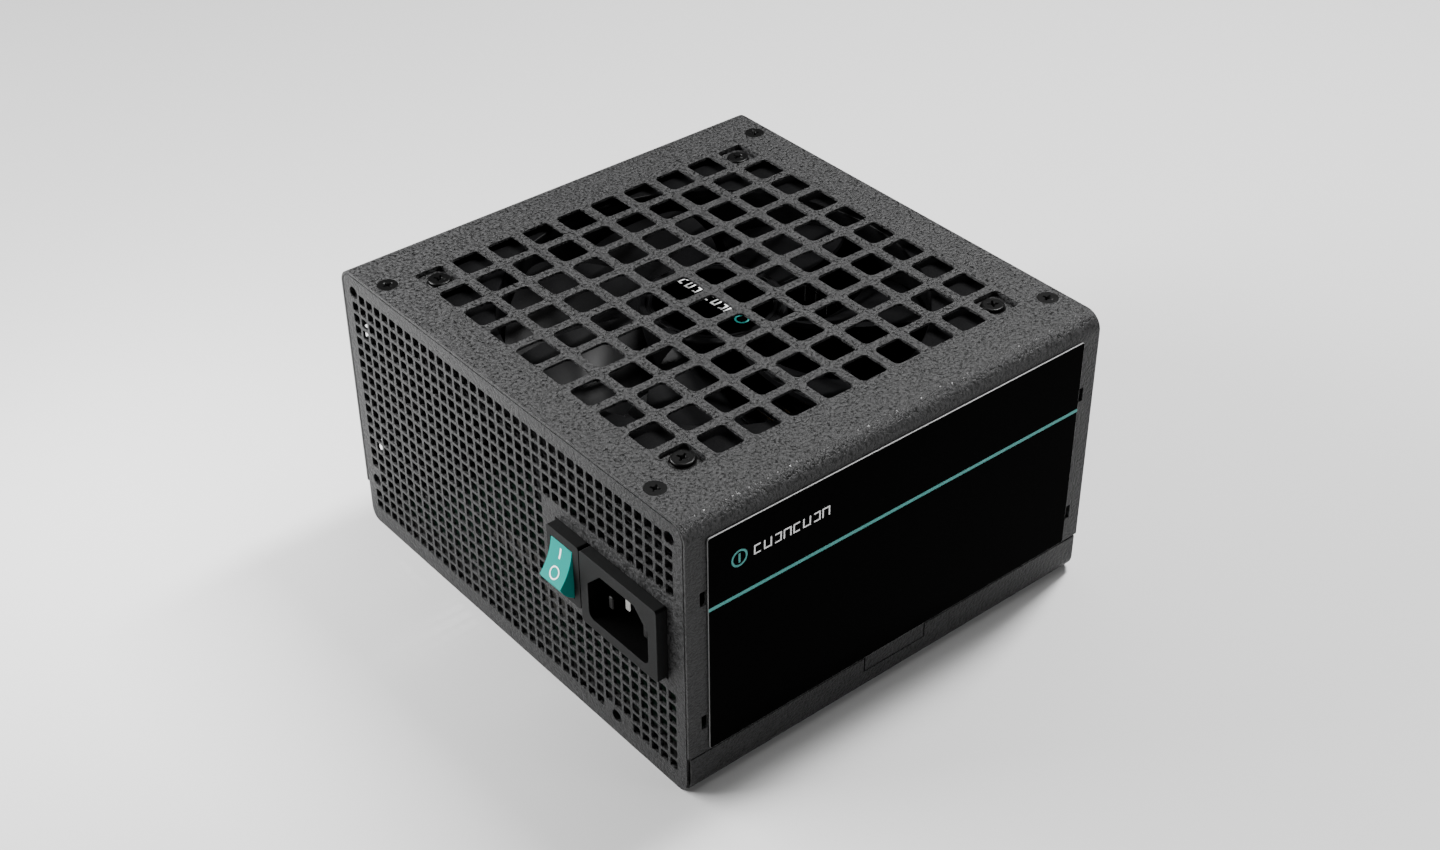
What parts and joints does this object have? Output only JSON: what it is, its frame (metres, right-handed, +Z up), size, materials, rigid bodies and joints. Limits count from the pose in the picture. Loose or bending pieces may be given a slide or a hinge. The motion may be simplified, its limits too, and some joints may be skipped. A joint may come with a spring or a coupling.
{
  "type": "power supply unit",
  "caption": "Desktop computer power supply in a folded steel case: fan under a square-hole grille, vented mains wall with inlet and rocker switch, and a cable outlet.",
  "frame": {"origin": "centre of the case's underside", "axes": "+X along the 150 mm width, +Y along the 140 mm depth away from the mains wall, +Z up towards the fan grille"},
  "size_m": [0.1508, 0.1487, 0.086],
  "materials": {
    "powder_coat": "dark grey powder coat with a fine sandy texture",
    "gloss_panel": "near-black glossy panel with one thin teal line",
    "plain_label": "plain satin film label",
    "black_screw_steel": "black oxide",
    "grey_plastic": "moulded, satin",
    "teal_plastic": "moulded, satin gloss",
    "black_plastic": "moulded, semi-gloss",
    "tinned_brass": "tin plated",
    "aluminium": "mill finish",
    "steel": "zinc plated",
    "ferrite": "sintered, matt",
    "copper_winding": "enamelled copper wire",
    "yellow_tape": "polyester tape over the winding",
    "board_laminate": "green laminate",
    "insulating_film": "translucent film",
    "capacitor_sleeve": "shrunk sleeve",
    "pale_plastic": "moulded"
  },
  "bodies": {
    "case": {"board_screw_front_left": "steel", "board_screw_front_right": "steel", "board_screw_rear_left": "steel", "board_screw_rear_right": "steel", "bottom_tray": "powder_coat", "bridge_rectifier": "black_plastic", "bulk_capacitor": "capacitor_sleeve", "cable_grommet": "black_plastic", "cover_screw_front_left": "black_screw_steel", "cover_screw_front_right": "black_screw_steel", "cover_screw_rear_left": "black_screw_steel", "cover_screw_rear_right": "black_screw_steel", "earth_pin": "tinned_brass", "fan_bearing": "steel", "fan_board": "board_laminate", "fan_connector": "pale_plastic", "fan_frame": "black_plastic", "fan_screw_front_left": "black_screw_steel", "fan_screw_front_right": "black_screw_steel", "fan_screw_rear_left": "black_screw_steel", "fan_screw_rear_right": "black_screw_steel", "fan_stator": "copper_winding", "inlet_housing": "grey_plastic", "insulating_sheet": "insulating_film", "line_filter_capacitor": "pale_plastic", "line_filter_choke": "copper_winding", "line_pin": "tinned_brass", "main_board": "board_laminate", "main_transformer_core": "ferrite", "main_transformer_winding": "yellow_tape", "mains_fuse": "pale_plastic", "neutral_pin": "tinned_brass", "output_capacitor_1": "capacitor_sleeve", "output_capacitor_2": "capacitor_sleeve", "output_capacitor_3": "capacitor_sleeve", "output_capacitor_4": "capacitor_sleeve", "output_inductor": "copper_winding", "output_rectifier": "black_plastic", "power_factor_choke": "copper_winding", "primary_heatsink": "aluminium", "primary_transistor_front": "black_plastic", "primary_transistor_rear": "black_plastic", "rating_label": "plain_label", "secondary_heatsink": "aluminium", "side_panel": "gloss_panel", "standby_transformer": "yellow_tape", "standoff_front_left": "tinned_brass", "standoff_front_right": "tinned_brass", "standoff_rear_left": "tinned_brass", "standoff_rear_right": "tinned_brass", "switch_housing": "grey_plastic", "switch_terminal_lower": "tinned_brass", "switch_terminal_upper": "tinned_brass", "top_cover": "powder_coat"},
    "rotor": {"fan_rotor": "black_plastic", "rotor_magnet": "ferrite", "fan_shaft": "steel", "fan_hub_label": "plain_label"},
    "rocker": {"switch_rocker": "teal_plastic"},
    "contact": {"switch_contact": "tinned_brass"}
  },
  "joints": [
    {"name": "fan_spin", "type": "hinge", "parent": "case", "child": "rotor", "pos_m": [0, 0, 0.073], "axis": [0, 0, 1], "continuous": true},
    {"name": "rocker_tilt", "type": "hinge", "parent": "case", "child": "rocker", "pos_m": [0.0289, -0.0696, 0.0474], "axis": [1, 0, 0], "range_deg": [0, 45]},
    {"name": "contact_tilt", "type": "hinge", "parent": "case", "child": "contact", "pos_m": [0.0289, -0.0586, 0.0474], "axis": [1, 0, 0], "range_deg": [-18, 0]}
  ],
  "couplings": [
    {"joint": "contact_tilt", "follows": "rocker_tilt", "ratio": -0.4}
  ]
}
